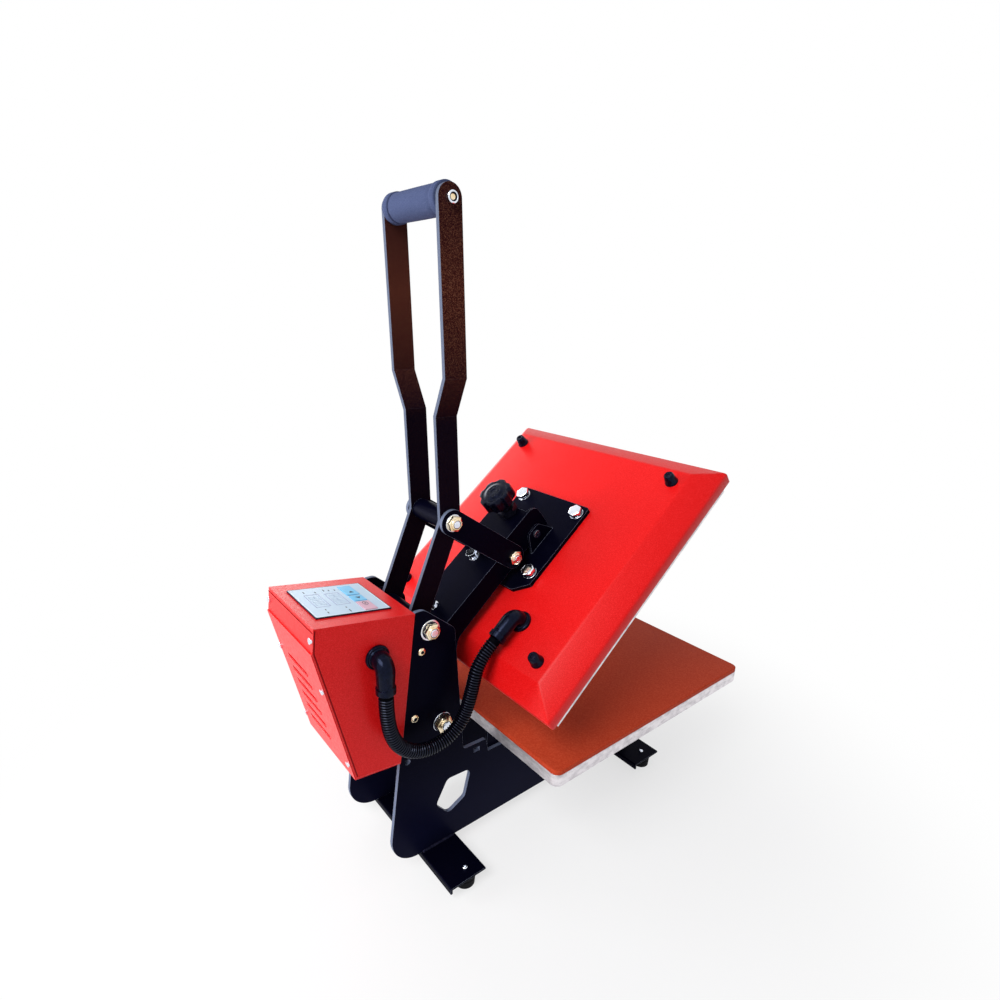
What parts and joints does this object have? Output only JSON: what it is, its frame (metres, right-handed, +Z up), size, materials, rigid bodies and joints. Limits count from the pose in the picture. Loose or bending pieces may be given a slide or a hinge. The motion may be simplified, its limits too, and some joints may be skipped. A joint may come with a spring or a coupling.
{
  "type": "flat heat press",
  "caption": "Bench heat press: a hinged upper heating platen on a toggle lever linkage closes flat onto a silicone-padded bed, with a control box behind the towers.",
  "frame": {"origin": "middle of the footprint box at the level the rubber feet stand on", "axes": "+Z up, -Y towards the operator, +X across to the operator's right"},
  "size_m": [0.38, 0.607, 0.798],
  "materials": {
    "black_powder": "fine black powder coat",
    "red_powder": "fine red powder coat",
    "zinc": "bright zinc plate",
    "aluminium": "machined",
    "silicone": "matt silicone foam",
    "rubber": "matt rubber",
    "foam": "closed-cell foam",
    "black_plastic": "satin",
    "gloss_black": "glossy",
    "panel_film": "printed film",
    "key_blue": "printed film",
    "key_pink": "printed film",
    "circuit": "glass-fibre board",
    "blanket": "fibre blanket"
  },
  "bodies": {
    "frame": {"side_plate_left": "black_powder", "side_plate_right": "black_powder", "rear_foot_channel": "black_powder", "front_foot_channel": "black_powder", "rubber_feet": "rubber", "silicone_pad": "silicone", "bed_plate": "aluminium", "platen_mount": "black_powder", "mount_bolts": "zinc", "tower_stays": "black_powder", "frame_screws": "zinc", "crank_pivot_bolt": "zinc", "arm_pivot_bolt": "zinc", "pivot_nuts": "zinc", "pivot_sleeves": "black_powder", "ribbed_hose": "black_plastic", "box_elbow": "black_plastic", "control_box_shell": "red_powder", "box_rear_cover": "red_powder", "box_screws": "zinc", "display_panel": "panel_film", "circuit_board": "circuit", "power_relay": "black_plastic", "power_supply": "black_plastic", "mains_inlet": "black_plastic", "switch_frame": "black_plastic"},
    "arm": {"arm_channel": "black_powder", "arm_pivot_tube": "black_powder", "lift_pin": "zinc", "stop_screws": "zinc", "press_head": "black_powder", "lock_nut": "zinc"},
    "handle": {"handle_bar_left": "black_powder", "handle_bar_right": "black_powder", "handle_pivot_tube": "black_powder", "cross_tube": "black_powder", "cross_bolt": "zinc", "grip_tube": "zinc", "foam_grip": "foam", "grip_bolts": "zinc"},
    "link": {"link_plate_left": "black_powder", "link_plate_right": "black_powder", "link_end_bolts": "zinc"},
    "pressure_screw": {"pressure_screw": "zinc", "pressure_knob": "gloss_black"},
    "upper_platen": {"pressure_block": "zinc", "platen_pin": "zinc", "platen_bracket": "black_powder", "bracket_bolts": "zinc", "platen_cover": "red_powder", "heating_plate": "aluminium", "heating_elements": "zinc", "temperature_sensor": "zinc", "insulation": "blanket", "cover_knobs": "black_plastic", "cover_elbow": "black_plastic"},
    "key_down": {"key_down": "key_blue"},
    "key_up": {"key_up": "key_blue"},
    "key_set": {"key_set": "key_pink"},
    "rocker": {"rocker": "gloss_black"}
  },
  "joints": [
    {"name": "arm_swing", "type": "hinge", "parent": "frame", "child": "arm", "pos_m": [0, 0.1465, 0.2015], "axis": [1, 0, 0], "range_deg": [0, 39.57]},
    {"name": "handle_swing", "type": "hinge", "parent": "frame", "child": "handle", "pos_m": [0, 0.1634, 0.3299], "axis": [1, 0, 0], "range_deg": [0, 80.72]},
    {"name": "link_turn", "type": "hinge", "parent": "handle", "child": "link", "pos_m": [0, 0.11838, 0.44361], "axis": [1, 0, 0], "range_deg": [-92.07, 0]},
    {"name": "pressure_knob_turn", "type": "hinge", "parent": "arm", "child": "pressure_screw", "pos_m": [0, 0.00185, 0.42676], "axis": [0, -0.637, -0.7708], "range_deg": [0, 1080]},
    {"name": "platen_lift", "type": "slide", "parent": "arm", "child": "upper_platen", "axis": [0, 0.637, 0.7708], "range_m": [0, 0.006]},
    {"name": "key_down_press", "type": "slide", "parent": "frame", "child": "key_down", "axis": [0, 0.1467, -0.9892], "range_m": [0, 0.0008], "stiffness_N_per_m": 600},
    {"name": "key_up_press", "type": "slide", "parent": "frame", "child": "key_up", "axis": [0, 0.1467, -0.9892], "range_m": [0, 0.0008], "stiffness_N_per_m": 600},
    {"name": "key_set_press", "type": "slide", "parent": "frame", "child": "key_set", "axis": [0, 0.1467, -0.9892], "range_m": [0, 0.0008], "stiffness_N_per_m": 600},
    {"name": "rocker_tip", "type": "hinge", "parent": "frame", "child": "rocker", "pos_m": [0.0585, 0.2385, 0.263], "axis": [0, 1, 0], "range_deg": [0, 20]}
  ],
  "couplings": [
    {"joint": "handle_swing", "follows": "arm_swing", "ratio": 2.0401},
    {"joint": "link_turn", "follows": "arm_swing", "ratio": -2.3269},
    {"joint": "pressure_knob_turn", "follows": "platen_lift", "rad_per_m": 3141.6}
  ]
}
